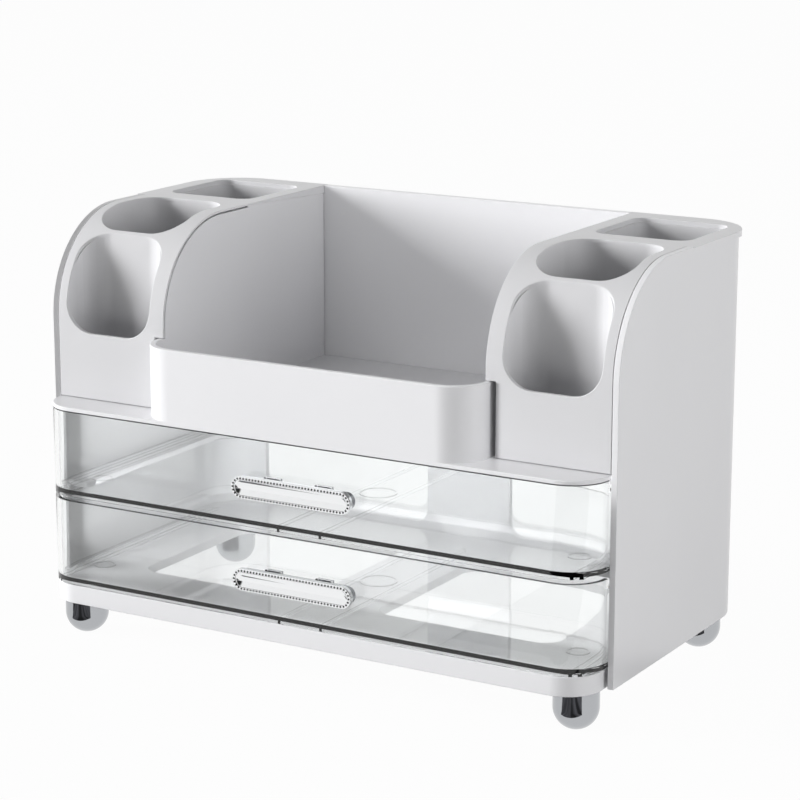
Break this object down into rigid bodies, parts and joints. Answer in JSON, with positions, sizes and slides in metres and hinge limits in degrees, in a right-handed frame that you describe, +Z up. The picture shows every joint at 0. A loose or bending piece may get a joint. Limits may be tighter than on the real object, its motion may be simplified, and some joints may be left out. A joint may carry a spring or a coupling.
{
  "type": "makeup storage box",
  "caption": "Desktop makeup storage box: clear sliding drawers with beaded chrome handles, an open bay with a low front wall, curved side towers of brush cups, and chrome dome feet.",
  "frame": {"origin": "on the floor, at the middle of the box that bounds the whole object with its drawers shut", "axes": "+Z up, +X to the right seen from the front, and the drawers pull out towards -Y"},
  "size_m": [0.333, 0.1892, 0.2235],
  "materials": {
    "white_plastic": "glossy moulded ABS, white",
    "clear_plastic": "clear moulded polystyrene",
    "chrome": "bright chrome plating",
    "mirror": "polished bright plate",
    "steel": "zinc-plated steel"
  },
  "bodies": {
    "case": {"left_side_panel": "white_plastic", "right_side_panel": "white_plastic", "back_panel": "white_plastic", "base_frame": "white_plastic", "bay_tray": "white_plastic", "left_cup_tower": "white_plastic", "right_cup_tower": "white_plastic", "front_left_foot": "chrome", "front_right_foot": "chrome", "rear_left_foot": "chrome", "rear_right_foot": "chrome", "foot_studs": "steel", "base_screws": "steel", "tray_screws": "steel"},
    "upper_drawer": {"upper_drawer": "clear_plastic", "upper_handle_frame": "chrome", "upper_handle_mirror": "mirror"},
    "lower_drawer": {"lower_drawer": "clear_plastic", "lower_handle_frame": "chrome", "lower_handle_mirror": "mirror"}
  },
  "joints": [
    {"name": "upper_drawer_slide", "type": "slide", "parent": "case", "child": "upper_drawer", "axis": [0, -1, 0], "range_m": [0, 0.13]},
    {"name": "lower_drawer_slide", "type": "slide", "parent": "case", "child": "lower_drawer", "axis": [0, -1, 0], "range_m": [0, 0.13]}
  ]
}
